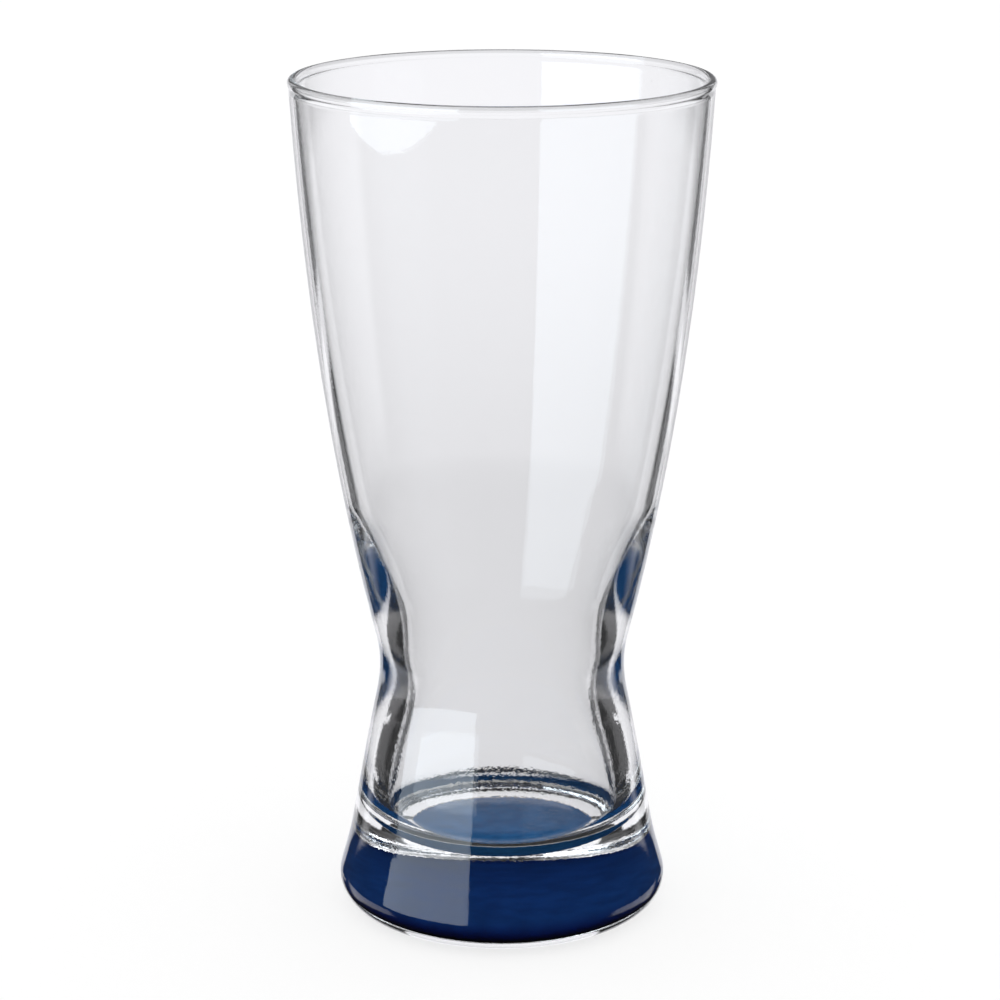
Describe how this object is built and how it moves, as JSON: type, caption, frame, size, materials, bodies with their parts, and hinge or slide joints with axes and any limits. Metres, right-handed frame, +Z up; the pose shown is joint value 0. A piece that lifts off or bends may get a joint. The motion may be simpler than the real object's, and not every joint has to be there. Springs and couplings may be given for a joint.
{
  "type": "pilsner glass",
  "caption": "Tall footed beer glass with a flared clear bowl, narrow waist, thick glass base and a blue coat under the foot.",
  "frame": {"origin": "centre of the foot on the plane that the glass stands on", "axes": "+Z up along the glass's axis of turning, from the foot to the rim; X and Y are any two directions square to it"},
  "size_m": [0.087, 0.087, 0.178],
  "materials": {
    "clear_glass": "polished clear soda-lime glass",
    "blue_coat": "sprayed and baked blue colour coat, seen through the glass"
  },
  "bodies": {
    "root": {"glass_body": "clear_glass", "base_colour_coat": "blue_coat"}
  },
  "joints": []
}
